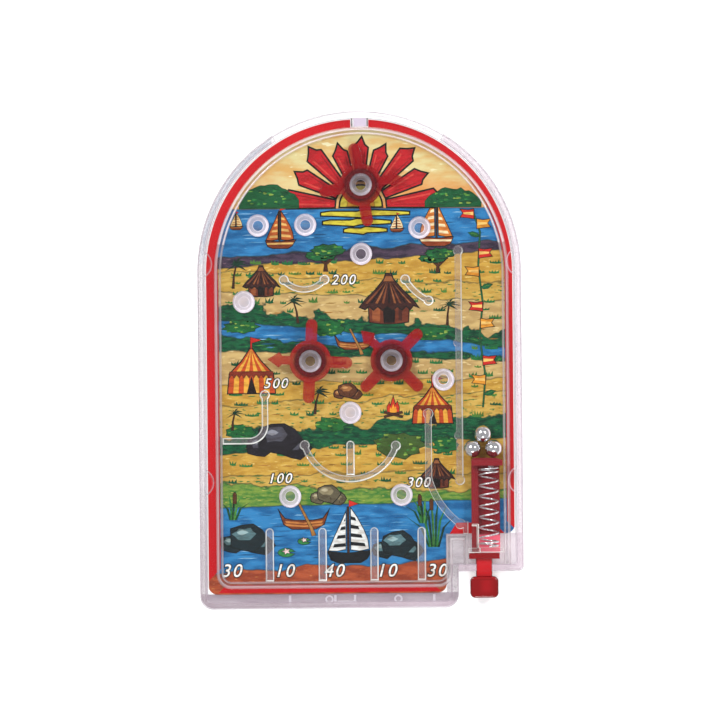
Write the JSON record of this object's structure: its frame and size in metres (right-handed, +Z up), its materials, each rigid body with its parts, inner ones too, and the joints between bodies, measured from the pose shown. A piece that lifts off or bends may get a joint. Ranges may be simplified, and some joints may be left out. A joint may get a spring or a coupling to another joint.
{
  "type": "hand-held pinball game",
  "caption": "Clear pocket pinball game with an arched top: sprung plunger and launch lane, spinners, posts, curved guides and score pockets over a printed card.",
  "frame": {"origin": "middle of the case's outline, on the table that the game lies on", "axes": "+X to the player's right, where the plunger is, +Y towards the arch, +Z up from the table to the player"},
  "size_m": [0.092, 0.1414, 0.0128],
  "materials": {
    "clear_plastic": "clear polystyrene with polished faces and slightly rounded edges",
    "printed_card": "glossy colour print on white card, with a red border",
    "red_plastic": "translucent red, polished",
    "ball_chrome": "mirror-polished steel",
    "spring_steel": "bright drawn spring wire"
  },
  "bodies": {
    "case": {"base_tray": "clear_plastic", "top_cover": "clear_plastic", "track_wall": "clear_plastic", "lane_wall": "clear_plastic", "return_guide": "clear_plastic", "catch_guide": "clear_plastic", "upper_arc_guide": "clear_plastic", "short_arc_guide": "clear_plastic", "cup_guide": "clear_plastic", "cup_rib": "clear_plastic", "spring_stop": "clear_plastic", "pocket_divider_1": "clear_plastic", "pocket_divider_2": "clear_plastic", "pocket_divider_3": "clear_plastic", "pocket_divider_4": "clear_plastic", "bumper_post_1": "clear_plastic", "bumper_post_2": "clear_plastic", "bumper_post_3": "clear_plastic", "bumper_post_4": "clear_plastic", "bumper_post_5": "clear_plastic", "bumper_post_6": "clear_plastic", "bumper_post_7": "clear_plastic", "bumper_post_8": "clear_plastic", "bumper_post_9": "clear_plastic", "spinner_post_top": "clear_plastic", "spinner_post_left": "clear_plastic", "spinner_post_right": "clear_plastic", "playfield_card": "printed_card", "plunger_spring": "spring_steel"},
    "plunger": {"plunger": "red_plastic"},
    "spinner_top": {"spinner_top": "red_plastic"},
    "spinner_left": {"spinner_left": "red_plastic"},
    "spinner_right": {"spinner_right": "red_plastic"},
    "ball_top": {"ball_top": "ball_chrome"},
    "ball_left": {"ball_left": "ball_chrome"},
    "ball_right": {"ball_right": "ball_chrome"}
  },
  "joints": [
    {"name": "plunger_slide", "type": "slide", "parent": "case", "child": "plunger", "axis": [0, 1, 0], "range_m": [-0.016, 0], "stiffness_N_per_m": 60, "springref_m": 0.004, "deforming": ["plunger_spring"]},
    {"name": "spinner_top_turn", "type": "hinge", "parent": "case", "child": "spinner_top", "pos_m": [0.0007, 0.0497, 0.006], "axis": [0, 0, 1], "continuous": true},
    {"name": "spinner_left_turn", "type": "hinge", "parent": "case", "child": "spinner_left", "pos_m": [-0.01415, -0.00043, 0.006], "axis": [0, 0, 1], "continuous": true},
    {"name": "spinner_right_turn", "type": "hinge", "parent": "case", "child": "spinner_right", "pos_m": [0.009, -0.00043, 0.006], "axis": [0, 0, 1], "continuous": true},
    {"name": "ball_top_roll", "type": "slide", "parent": "case", "child": "ball_top", "axis": [0, 1, 0], "range_m": [0, 0.045]},
    {"name": "ball_left_roll", "type": "slide", "parent": "case", "child": "ball_left", "axis": [0, 1, 0], "range_m": [0, 0.045]},
    {"name": "ball_right_roll", "type": "slide", "parent": "case", "child": "ball_right", "axis": [0, 1, 0], "range_m": [0, 0.045]}
  ],
  "couplings": [
    {"joint": "ball_left_roll", "follows": "ball_top_roll", "ratio": 1},
    {"joint": "ball_right_roll", "follows": "ball_top_roll", "ratio": 1}
  ]
}
